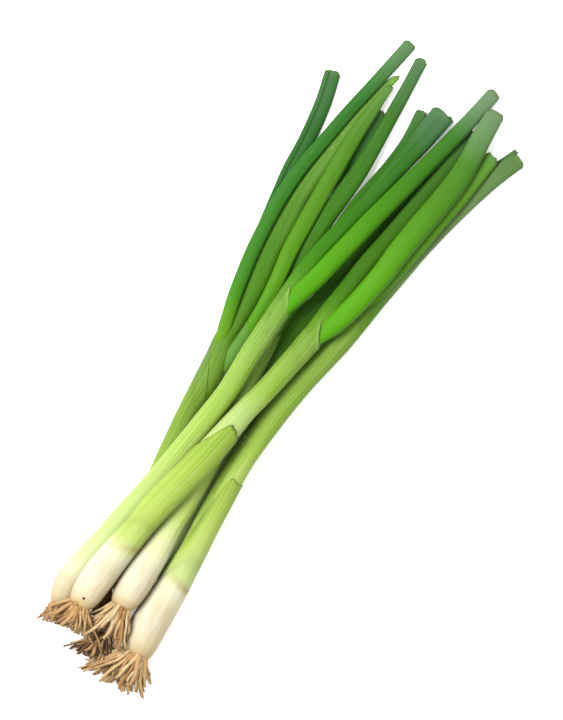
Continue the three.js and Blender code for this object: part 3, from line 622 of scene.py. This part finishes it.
def addSheet(name, columns, rows, placeAll):
    # A primitive grid whose points are all moved to their places, with its seam welded.
    bpy.ops.object.select_all(action="DESELECT")
    bpy.ops.mesh.primitive_grid_add(x_subdivisions=columns, y_subdivisions=rows, size=1, calc_uvs=True)
    piece = bpy.context.active_object
    piece.name = name
    flat = np.empty(len(piece.data.vertices) * 3)
    piece.data.vertices.foreach_get("co", flat)
    flat = flat.reshape(-1, 3)
    u = np.round((flat[:, 0] + 0.5) * columns) / columns
    v = np.round((flat[:, 1] + 0.5) * rows) / rows
    points, values = placeAll(u, v)
    piece.data.vertices.foreach_set("co", points.ravel())
    for key, data in values.items():
        kind, slot, shape = "FLOAT", "value", len(points)
        if key == "skin":
            kind, slot, shape = "FLOAT_VECTOR", "vector", points.shape
        layer = piece.data.attributes.new(key, kind, "POINT")
        layer.data.foreach_set(slot, np.broadcast_to(data, shape).astype(np.float32).ravel())
    piece.data.update()
    bpy.ops.object.mode_set(mode="EDIT")
    bpy.ops.mesh.select_all(action="SELECT")
    bpy.ops.mesh.remove_doubles(threshold=detail["weld"])
    bpy.ops.mesh.normals_make_consistent(inside=False)
    bpy.ops.object.mode_set(mode="OBJECT")
    bpy.ops.object.shade_smooth()
    return piece


def joined(name, pieces):
    bpy.ops.object.select_all(action="DESELECT")
    for piece in pieces:
        piece.select_set(True)
    bpy.context.view_layer.objects.active = pieces[0]
    if len(pieces) > 1:
        bpy.ops.object.join()
    whole = bpy.context.active_object
    whole.name = name
    return whole


def profileAt(profile, v):
    # The two columns of a profile, a share of the way through its rows.
    row = v * (len(profile) - 1)
    return [np.interp(row, np.arange(len(profile)), column) for column in profile.T]


def ringAround(line, side, up, size, angle):
    return line + side * (size * np.cos(angle))[:, None] + up * (size * np.sin(angle))[:, None]


def wobble(seed, value, pace):
    # A smooth wandering between about -1 and 1, from five waves, the same on every run.
    draw = random.Random(seed)
    total = 0
    for _ in range(5):
        size, phase, rate = draw.uniform(0.5, 1), draw.uniform(0, math.tau), draw.uniform(0.6, 1.4)
        total = total + size * np.sin(value * pace * rate + phase)
    return total / 3.0


def tubeProfile(length, step):
    # Rows of a tube as (length along, share of the radius), with the cut tip hollowed.
    body = np.linspace(0, length, int(length / step))
    deep = length - tips["hollow"]
    rows = tube["footRows"] + [(a, 1.0) for a in body[body > tube["bodyFrom"]]]
    rows += [(length + tips["lipOut"], tips["lip"]), (length, tips["wall"])]
    rows += [(length - tips["innerAt"], tips["innerWall"]), (deep, tips["floorWall"])]
    return np.array(rows + [(deep - tips["floor"], 0.0)])


def tipMoved(along, angle, pastTip, spec, seed):
    # The cut tip is rounded at its sides and ragged along its edge.
    notches = tips["notchShare"] * wobble(seed + 7, angle, tips["notches"])
    ragged = (wobble(seed, angle, tips["teeth"]) + notches) * tips["ragged"] * spec["ragged"]
    rounded = np.abs(np.cos(angle)) ** tips["square"] * tips["rounding"]
    return along - ease(pastTip, *tips["over"]) * (rounded - ragged)


def tubeSwell(along, angle, leafy, seed):
    # Slow swellings along a tube and the fine ribs round it.
    swell = 1 + tube["swell"] * wobble(seed + 1, along, tube["swellPace"])
    swell = swell + tube["ripple"] * leafy * wobble(seed + 2, along, tube["ripplePace"])
    return swell * (1 + tube["rib"] * np.sin(angle * tube["ribs"] + wobble(seed + 5, along, tube["ribPace"])))


def tubePlacer(strand, profile, seed, values):
    # Places a tube's points: ribs, a groove on top and a ragged, rounded tip.
    spec = strand.spec
    creaseAt = random.Random(seed).uniform(-tube["creaseAt"], tube["creaseAt"])

    def place(u, v):
        angle = around(u)
        along, share = profileAt(profile, v)
        pastTip = along - strand.length
        leafy = ease(along - values["leafFrom"], *tube["leafStart"])
        onTop = np.sin(angle) > 0
        away = (np.cos(angle) - creaseAt) ** 2
        # Painted shade: a dark line along the crease on top of a leaf.
        line = np.exp(-away / tube["line"]) * onTop * leafy
        depth = tube["depth"] + tube["depthChange"] * wobble(seed + 3, along, tube["depthPace"])
        crease = spec["crease"] * leafy * np.exp(-away / tube["groove"]) * onTop * depth
        crease = crease + ease(pastTip, *tips["pinchOver"]) * tips["pinch"]
        foot = 1 - values["slimFoot"] * (1 - ease(along, *tube["footOver"]))
        size = share * tubeSwell(along, angle, leafy, seed) * foot
        points = ringPoint(strand, tipMoved(along, angle, pastTip, spec, seed), angle, size, crease=crease)
        points[:, 2] = np.maximum(points[:, 2], 0.0)
        ends = np.maximum(ease(pastTip, *tips["cut"]), share < tips["inside"])
        return points, {
            "skin": skinPlace(angle, along),
            "stage": values["stage"](along),
            "edge": np.maximum(ends * (along > 0.5 * strand.length), values["ring"](along, angle)),
            "warm": values["warm"](along),
            "light": values["light"](along, angle) - spec["line"] * line,
            "extra": values["extra"](along, angle),
        }

    return place


def growthOf(strand):
    # 0 at the root end, 1 where the white ends, 2 at the collar, 3 at the tip.
    green = strand.nearest(strand.spec["green"])
    fade = strand.spec["fade"]
    places = [0, green - fade, green + fade, strand.nearest(strand.spec["collar"]), strand.length]
    return lambda along: np.interp(along, places, spans["growth"])


def stalkLight(strand, along, angle):
    # The sheath's lightness, then the outer leaf's, both partly their own tone and partly painted light and
    # shade, the stretch that a torn skin has bared, and painted shade on the left of that stretch.
    spec = strand.spec
    green, collar = strand.nearest(spec["green"]), strand.nearest(spec["collar"])
    low, high = spec["light"]
    upTheSheath = np.clip((along - green) / (collar - green), 0, 1)
    light = high + (low - high) * (1 - upTheSheath) ** spans["lowPower"]
    leafLight = np.interp(along, [collar, strand.length], spec["leafLight"])
    light = blend(light, leafLight, ease(along - collar, *spans["leaf"]))
    for skin in skins:
        if skin["on"] == strand.name:
            past = along - strand.nearest(skin["at"])
            light = light + skin["bare"] * (past > -spans["bare"]) * (1 - ease(past, 0, spans["bare"]))
            # Painted shade: the left side of the bared stalk is a deeper green where it lies in shade.
            shadedStrip = ease(past, *spans["stripStart"]) * (1 - ease(past, *spans["stripEnd"]))
            light = light - skin["shadedStrip"] * shadedStrip * ease(-np.cos(angle), *spans["stripSide"])
    return light


def buildStalk(strand, seed):
    spec = strand.spec
    green, collar = strand.nearest(spec["green"]), strand.nearest(spec["collar"])
    profile = tubeProfile(strand.length, detail["stalkStep"])

    def ring(along, angle):
        facing = np.cos(angle)
        band = np.exp(-((along - green + spec["ringTilt"] * facing) / spans["ringWidth"]) ** 2)
        return spec["ring"] * band * (spans["ringLeft"] + spans["ringRight"] * facing).clip(0)

    values = {
        "leafFrom": collar,
        "slimFoot": 0.0,
        "stage": growthOf(strand),
        "extra": lambda along, angle: blend(
            spec["dull"], spec["leafDull"], ease(along - collar, *spans["leaf"])),
        "warm": lambda along: blend(spec["tan"], spec["warm"], ease(along - green, *spans["tan"])),
        "light": lambda along, angle: stalkLight(strand, along, angle),
        "ring": ring,
    }
    place = tubePlacer(strand, profile, seed, values)
    return addSheet(strand.name + "_tube", detail["stalkColumns"], len(profile) - 1, place)


def buildLeaf(strand, seed):
    spec = strand.spec
    profile = tubeProfile(strand.length, detail["leafStep"])
    filmEnd = strand.nearest(spec["filmEnd"]) if spec["filmEnd"] else -1
    footLight, footWarm = spec["foot"]

    def extra(along, angle):
        fresh = spec["fresh"] * (1 - ease(along, *spans["fresh"]))
        grey = spec["tipFade"] * ease(along - strand.length, *spans["tipFade"])
        past = along + spans["filmTilt"] * np.cos(angle) - filmEnd
        return fresh - grey - spans["filmGrey"] * (1 - ease(past, *spans["film"]))

    def warm(along):
        foot = footWarm * (1 - ease(along, *spans["footWarm"]))
        return foot + spec["warm"] * ease(along, *spans["warm"])

    def light(along, angle):
        return spec["light"] + footLight * (1 - ease(along, *spans["footLight"]))

    values = {
        "leafFrom": 0.0,
        "slimFoot": spans["slimFoot"],
        "stage": lambda along: along / strand.length,
        "extra": extra,
        "warm": warm,
        "light": light,
        "ring": lambda along, angle: 0.0,
    }
    place = tubePlacer(strand, profile, seed, values)
    return addSheet(strand.name + "_tube", detail["leafColumns"], len(profile) - 1, place)


def sheetSides(u, v):
    # A sleeve's sheet runs out along its outside and back along its inside.
    angle = around(u)
    outer = v <= 0.5
    return angle, np.cos(angle), outer, np.where(outer, v, 1 - v) * 2


def collarLip(spec, angle, free, seed):
    # How far the lip reaches past its place. It rises behind its corner and falls away before it.
    lip = sleeve["rise"] * ease(-np.cos(angle), -spec["corner"], sleeve["riseTo"] - spec["corner"])
    lip = lip - spec["slant"] * free ** spec["bow"]
    return lip + sleeve["wave"] * wobble(seed, angle, sleeve["wavePace"])


def collarLift(spec, facing, reach, outer, free):
    # How far the sleeve stands off the stalk, with its start and its left edge tucked in.
    lift = np.where(outer, sleeve["outer"], sleeve["inner"])
    lift = lift - sleeve["start"] * (1 - ease(reach, *sleeve["startOver"]))
    tucked = ease(-facing, -spec["corner"], sleeve["tuckTo"] - spec["corner"])
    lift = lift - sleeve["tuck"] * ease(reach, *sleeve["tuckOver"]) * tucked
    return lift + spec["flare"] * ease(reach, *sleeve["flareOver"]) * free


def buildCollar(strand, spec, seed):
    # A thin sleeve at full sheath size, whose front edge is the lip that the leaf comes out of.
    mark = strand.nearest(spec["at"])
    hold = mark - sleeve["hold"]
    corner = spec["corner"]
    growth = growthOf(strand)

    def place(u, v):
        angle, facing, outer, reach = sheetSides(u, v)
        free = np.clip((facing - corner) / (1 - corner), 0, 1)
        lip = collarLip(spec, angle, free, seed)
        along = mark - spec["back"] + (spec["back"] + lip) * reach ** sleeve["spacing"]
        held = np.minimum(along, hold)
        centre, side, up, tangent, _, _ = strand.frame(held)
        full = np.interp(np.minimum(held, hold - sleeve["measure"]), strand.along, strand.half)
        lift = collarLift(spec, facing, reach, outer, free)
        wide = (full + lift) * facing
        tall = (sleeve["round"] * full + lift) * np.sin(angle)
        points = centre + (along - held)[:, None] * tangent + side * wide[:, None] + up * tall[:, None]
        follow = ringPoint(strand, along, angle, lift=lift)
        points = blend(points, follow, ease(-facing, *sleeve["followOver"])[:, None])
        points[:, 2] = np.maximum(points[:, 2], sleeve["floor"])
        film = ease(reach, *sleeve["filmAlong"]) * ease(-facing, *sleeve["filmSide"])
        pale = ease(reach, *sleeve["paleOver"])
        return points, {
            "skin": skinPlace(angle, along),
            "stage": np.minimum(growth(along), 2.0),
            "edge": 0.0,
            "warm": strand.spec["warm"],
            "light": stalkLight(strand, along, angle) + pale * spec["pale"],
            "extra": strand.spec["dull"] + spec["film"] * film,
        }

    return addSheet(strand.name + "_collar", detail["stalkColumns"], detail["collarRows"], place)


def buildSkin(strand, spec, seed):
    # The outer skin of the lower stalk, which ends in a torn lip.
    mark = strand.nearest(spec["at"])
    begin = strand.nearest(strand.spec["green"]) - tear["before"]
    growth = growthOf(strand)

    def place(u, v):
        angle, facing, outer, reach = sheetSides(u, v)
        lip = np.where(facing > 0, spec["right"] * facing, spec["left"] * np.abs(facing) ** spec["sweep"])
        broad, fine = tear["wavePaces"]
        lip = lip + spec["ragged"] * (wobble(seed, angle, broad) + 0.5 * wobble(seed + 1, angle, fine))
        along = begin + (mark + lip - begin) * reach ** tear["spacing"]
        lift = np.where(outer, spec["lift"], tear["inner"]) * ease(reach, *tear["liftOver"])
        lift = lift - tear["start"] * (1 - ease(reach, *tear["startOver"]))
        lift = lift * blend(1, np.abs(np.sin(angle * 0.5 + tear["hugTurn"])), 1 - tear["hug"])
        points = ringPoint(strand, along, angle, lift=lift)
        points[:, 2] = np.maximum(points[:, 2], tear["floor"])
        light = stalkLight(strand, along, angle) - spec["bare"] * (along > mark - tear["bareBack"])
        light = light - tear["shade"] * ease(reach, *tear["shadeOver"])
        return points, {
            "skin": skinPlace(angle, along),
            "stage": growth(along),
            "edge": ease(reach, *tear["edgeOver"]) * tear["edge"],
            "warm": strand.spec["warm"] + tear["warm"],
            # Painted shadow: a dark line along the torn edge, besides its brown rim.
            "light": light - spec["line"] * ease(reach, *tear["lineOver"]),
            "extra": strand.spec["dull"],
        }

    return addSheet(strand.name + "_skin", detail["stalkColumns"], detail["skinRows"], place)


def rootTube(start, directions, spec, draw, index, radius):
    # One root as a tapering, wandering tube.
    outward, side, up = directions
    stray = index >= spec["count"]
    turn = index * root["turn"]
    out = math.sqrt((index % spec["count"] + 0.5) / spec["count"])
    across, above = math.cos(turn) * out, math.sin(turn) * out
    reach = spec["length"] * draw.uniform(*root["reach"]) * (root["strayReach"] if stray else 1.0)
    reach = reach * (1 - spec["short"] * ease(across, *root["shortOver"]))
    thick = root["radius"] * draw.uniform(*root["thick"]) * (root["strayThick"] if stray else 1.0)
    drop = max(0.0, start[2] - root["floor"]) * draw.uniform(*root["drop"])
    curl = draw.uniform(-1, 1) * reach * root["curl"]
    phase, pace = draw.uniform(0, math.tau), draw.uniform(*root["pace"])
    rim = radius * draw.uniform(*root["span"])
    base = start + (side * across + up * above) * rim - outward * draw.uniform(0, root["climb"])
    tone, dirt = draw.random() * spec["tone"], min(1.0, spec["dirt"] * draw.uniform(*root["dirt"]))

    def place(u, v):
        angle = u * math.tau
        rows = detail["rootRows"]
        row = np.clip((v * rows - 1) / (rows - 2), 0, 1)
        ends = (v < 0.5 / rows) | (v > 1 - 0.5 / rows)
        sway = reach * row * (across * spec["spread"] - spec["lean"]) + curl * row ** 2
        sway = sway + root["sway"] * np.sin(row * pace + phase) * row
        line = base + outward * (reach * row)[:, None] + side * sway[:, None]
        line[:, 2] += reach * row * above * spec["spread"] * root["rise"] - drop * row ** 2
        line[:, 2] += root["ripple"] * np.sin(row * pace * root["rippleRate"] + phase * 2)
        lumps = 1 + root["lump"] * np.sin(row * root["lumps"] + phase)
        size = np.where(ends, 0, thick * (1 - (1 - root["taper"]) * row) * lumps)
        line[:, 2] = np.maximum(line[:, 2], size + root["clear"])
        return ringAround(line, side, up, size, angle), {
            "skin": skinPlace(angle, row * reach + index),
            "stage": row,
            "edge": dirt,
            "warm": tone,
        }

    return addSheet(f"root_{index}", detail["rootColumns"], detail["rootRows"], place)


def buildTuft(name, strand, spec):
    # The base plate with its roots. The plate is a short tube under the bulb.
    draw = random.Random(spec["seed"])
    centre, side, up, tangent, half, _ = [part[0] for part in strand.frame(np.array([0.0]))]
    outward = -tangent
    radius = half * plate["share"]
    profile = np.array(plate["profile"])

    def place(u, v):
        angle = u * math.tau
        deep, share = profileAt(profile, v)
        deep = deep * plate["depth"]
        size = radius * share * (1 + plate["notch"] * np.sin(angle * plate["notches"] + 1) * (v > 0.2))
        line = centre + outward * (deep + plate["gap"])[:, None]
        return ringAround(line, side, up, size, angle), {
            "skin": skinPlace(angle, deep),
            "stage": 0.0,
            "edge": spec["dirt"] * plate["dirt"],
            "warm": plate["tone"],
        }

    pieces = [addSheet("plate", detail["plateColumns"], len(profile) - 1, place)]
    start = centre - outward * plate["rootsAt"] * plate["depth"]
    for index in range(spec["count"] + spec["strays"]):
        pieces.append(rootTube(start, (outward, side, up), spec, draw, index, radius))
    return joined(name + "_look", pieces)


def markPlace(mark):
    strand = strands[mark["on"]]
    x, y = planPoint(*mark["at"]) + planShift
    centre, _, _, _, half, rise = [part[0] for part in strand.frame(np.array([strand.nearest(mark["at"])]))]
    away = min(1.0, math.hypot(x - centre[0], y - centre[1]) / half)
    return (x, y, centre[2] + rise * math.sqrt(1 - away * away))


def addMarks(shader, colour):
    place = shader.node("ShaderNodeTexCoord", None, "Object")
    for mark in marks:
        ends = {0: place, 1: markPlace(mark)}
        away = shader.node("ShaderNodeVectorMath", ends, "Value", operation="DISTANCE")
        spot = 1 - shader.between(away, 0.8 * mark["radius"], 1.2 * mark["radius"])
        colour = shader.mix(spot, colour, tint(*mark["colour"]))
    return colour


def stalkMaterial():
    shader = Shader("Stalk", stalkPaint)
    skin = shader.attribute("skin", "Vector")
    growth, edge, warm = [shader.attribute(key) for key in ("stage", "edge", "warm")]
    light, dull = shader.attribute("light"), shader.attribute("extra")
    side = shader.node("ShaderNodeSeparateXYZ", {0: skin}, 0)
    streaks = shader.noise(skin, across=9, along=14, detail=3, rough=0.6)
    fine = shader.noise(skin, across=20, along=16, detail=2)
    patches = shader.noise(skin, across=1.6, along=30, detail=3)
    leafy = shader.between(growth, 1.9, 2.2)
    green = shader.between(growth, 0.85, 1.12)
    drift = (streaks - 0.5) * 0.12 + (patches - 0.5) * 0.1
    colour = shader.ramp((growth + drift * shader.between(growth, 0.5, 1.0) * 1.6) / 3)
    # The bulb browns towards its right side as painted shade, on top of its real brown patches and tan.
    tanAndShade = shader.between(side, 0.0, 1.0) * 0.8 + shader.between(patches, 0.5, 0.7) * 0.6
    tanAndShade = (tanAndShade + warm * 1.6) * (1 - shader.between(growth, 0.55, 1.0))
    colour = shader.layered(colour, leafy, [
        (shader.between(fine, 0.47, 0.58) * green * (0.28 - leafy * 0.15), "vein", "leafVein"),
        (shader.between(streaks, 0.5, 0.66) * green * 0.3, "dark", "leafDark"),
        # Painted shade: the right side of the green sheath and of the outer leaf is darker.
        (shader.between(side, 0.55, 1.0) * green * 0.3, "side", "leafShadedSide"),
        (tanAndShade * 0.55, "tan"),
        (warm * green * 0.7, "warm"),
        (dull * green * 0.5, "dull"),
        # Painted shade and light: a piece's light deepens the green where it is negative and pales it where
        # it is positive, on top of its own tone.
        ((-light * green).clamp() * 0.9, "deep"),
        ((light * green * (1 - leafy)).clamp() * 0.9, "pale"),
        ((light * leafy).clamp() * shader.between(growth, 2.05, 2.3), "leafPale"),
        (edge * 0.8, "edge", "leafEdge"),
    ])
    normal = shader.bump(fine * 0.5 + streaks, strength=0.35, distance=0.0006)
    return shader.finish(
        addMarks(shader, colour), 0.42 + patches * 0.16, normal, Specular_IOR_Level=0.07,
        Subsurface_Weight=0.18, Subsurface_Scale=0.003, Subsurface_Radius=(0.8, 1.0, 0.5))


def leafMaterial():
    shader = Shader("Leaf", leafPaint)
    skin = shader.attribute("skin", "Vector")
    growth, edge, warm = [shader.attribute(key) for key in ("stage", "edge", "warm")]
    light, fresh = shader.attribute("light"), shader.attribute("extra")
    side = shader.node("ShaderNodeSeparateXYZ", {0: skin}, 0)
    streaks = shader.noise(skin, across=7, along=12, detail=3, rough=0.6)
    fine = shader.noise(skin, across=24, along=14, detail=1)
    patches = shader.noise(skin, across=1.5, along=26, detail=3)
    colour = shader.ramp(growth + (patches - 0.5) * 0.15)
    colour = shader.layered(colour, None, [
        (fresh, "fresh"),
        (warm * 0.8, "warm"),
        (warm * -0.9, "cool"),
        (shader.between(fine, 0.47, 0.6) * 0.1, "vein"),
        (shader.between(streaks, 0.52, 0.7) * 0.25, "dark"),
        # Painted shade: the leaf's right side is darker.
        (shader.between(side, 0.5, 1.0) * 0.35, "side"),
        # Painted shade and light: the leaf's light deepens its green where negative and pales it where
        # positive, on top of its own tone.
        ((-light).clamp() * 0.9, "deep"),
        (light.clamp() * 0.9, "pale"),
        (fresh * -0.9, "grey"),
        (edge * 0.5, "edge"),
    ])
    normal = shader.bump(fine * 0.5 + streaks, strength=0.3, distance=0.0005)
    return shader.finish(
        colour, 0.4 + patches * 0.2, normal, Specular_IOR_Level=0.07,
        Subsurface_Weight=0.12, Subsurface_Scale=0.002, Subsurface_Radius=(0.5, 1.0, 0.2))


def rootMaterial():
    shader = Shader("Root", rootPaint)
    skin = shader.attribute("skin", "Vector")
    growth, dirt, tone = [shader.attribute(name) for name in ("stage", "edge", "warm")]
    grain = shader.noise(skin, across=3, along=500, detail=3, rough=0.6)
    blotch = shader.noise(skin, across=1.2, along=160, detail=2)
    colour = shader.ramp(tone)
    colour = shader.layered(colour, None, [
        (shader.between(grain, 0.45, 0.7) * 0.35, "grain"),
        (shader.between(growth, 0.6, 1.0) * 0.25, "tip"),
        (shader.between(blotch + dirt * 0.45, 0.62, 0.85), "mud"),
    ])
    normal = shader.bump(grain, strength=0.5, distance=0.0004)
    return shader.finish(colour, 0.75, normal, Specular_IOR_Level=0.25)


def dress(piece, node, material):
    piece.data.materials.clear()
    piece.data.materials.append(material)
    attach(piece, "root")
    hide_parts(node)


def seedOf(kind, index):
    first, pace = seeds[kind]
    return first + pace * index


def findShift(strands, nodes):
    # The CAD is centred on its box, so the plan slides by the middle offset of the leaves.
    offsets = []
    for name in leaves:
        strand = strands[name]
        corners = np.array([v.co[:2] for v in nodes[name].data.vertices])
        centre, side, _, _, half, _ = strand.frame(strand.along)
        own = np.concatenate([(centre + side * (half * k)[:, None])[:, :2] for k in (-1, 1)])
        offsets.append(0.5 * (corners.min(0) + corners.max(0)) - 0.5 * (own.min(0) + own.max(0)))
    return np.median(np.array(offsets), axis=0)


def setFloor():
    bpy.ops.object.select_all(action="DESELECT")
    bpy.ops.mesh.primitive_plane_add(size=stage["floor"], location=(0, 0, 0))
    floor = bpy.context.active_object
    floor.name = "Floor"
    shader = Shader("White surface")
    place = shader.node("ShaderNodeTexCoord", None, "Object")
    light, dark = [(stage[key],) * 3 + (1,) for key in ("floorLight", "floorDark")]
    colour = shader.mix(shader.noise(place, across=4, along=4, detail=2) * 0.3, light, dark)
    shader.feed(shader.surface.inputs["Emission Color"], colour)
    material = shader.finish(colour, 0.9, Specular_IOR_Level=0.0, Emission_Strength=stage["glow"])
    floor.data.materials.append(material)


def setLamp(spec, turn):
    right, up, away = spec["place"]
    x = right * math.cos(turn) - up * math.sin(turn)
    y = right * math.sin(turn) + up * math.cos(turn)
    bpy.ops.object.light_add(type="AREA", location=(x, y, away))
    lamp = bpy.context.active_object
    lamp.name = spec["name"]
    lamp.data.shape = "DISK"
    lamp.data.size = spec["size"]
    lamp.data.energy = spec["power"]
    lamp.rotation_euler = Vector((x, y, away)).to_track_quat("Z", "Y").to_euler()


def setStage():
    # White surface, soft light from the upper left of the picture, camera straight above.
    setFloor()
    scene = bpy.context.scene
    scene.world = bpy.data.worlds.new("Soft white")
    scene.world.use_nodes = True
    background = scene.world.node_tree.nodes["Background"]
    background.inputs["Color"].default_value = (1, 1, 1, 1)
    background.inputs["Strength"].default_value = stage["world"]
    turn = math.atan2(plan["axis"][0], -plan["axis"][1])
    for spec in stage["lamps"]:
        setLamp(spec, turn)
    x, y = planPoint(*plan["picture"]) + planShift
    bpy.ops.object.camera_add(location=(x, y, stage["height"]), rotation=(0, 0, turn))
    camera = bpy.context.active_object
    camera.data.lens = stage["lens"]
    camera.data.sensor_width = stage["sensor"]
    camera.data.clip_end = stage["far"]
    scene.camera = camera
    scene.view_settings.view_transform = "Standard"


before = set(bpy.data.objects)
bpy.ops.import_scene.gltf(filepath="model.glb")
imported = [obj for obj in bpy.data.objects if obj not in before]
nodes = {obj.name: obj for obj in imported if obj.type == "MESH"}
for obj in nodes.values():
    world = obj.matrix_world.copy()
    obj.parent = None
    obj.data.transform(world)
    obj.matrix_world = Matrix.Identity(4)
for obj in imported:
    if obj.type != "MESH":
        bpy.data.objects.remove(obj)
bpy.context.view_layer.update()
planShift = np.zeros(2)
strands = {name: Strand(name, spec) for name, spec in {**stalks, **leaves}.items()}
planShift = findShift(strands, nodes)
print("plan slides by", planShift)
for name, strand in strands.items():
    strand.shift(*planShift)
    strand.settle(nodes[name])
print("centre lines settled")

stalkLook, leafLook, rootLook = stalkMaterial(), leafMaterial(), rootMaterial()
for index, name in enumerate(stalks):
    strand = strands[name]
    parts = [buildStalk(strand, seedOf("stalk", index))]
    parts += [buildCollar(strand, spec, seedOf("collar", index)) for spec in collars if spec["on"] == name]
    parts += [buildSkin(strand, spec, seedOf("skin", index)) for spec in skins if spec["on"] == name]
    dress(joined(name + "_look", parts), name, stalkLook)
print("stalks built")
for index, name in enumerate(leaves):
    leaf = buildLeaf(strands[name], seedOf("leaf", index))
    dress(joined(name + "_look", [leaf]), name, leafLook)
print("leaves built")
for name, spec in tufts.items():
    dress(buildTuft(name, strands[name.replace("roots", "stalk")], spec), name, rootLook)
print("roots built")
setStage()
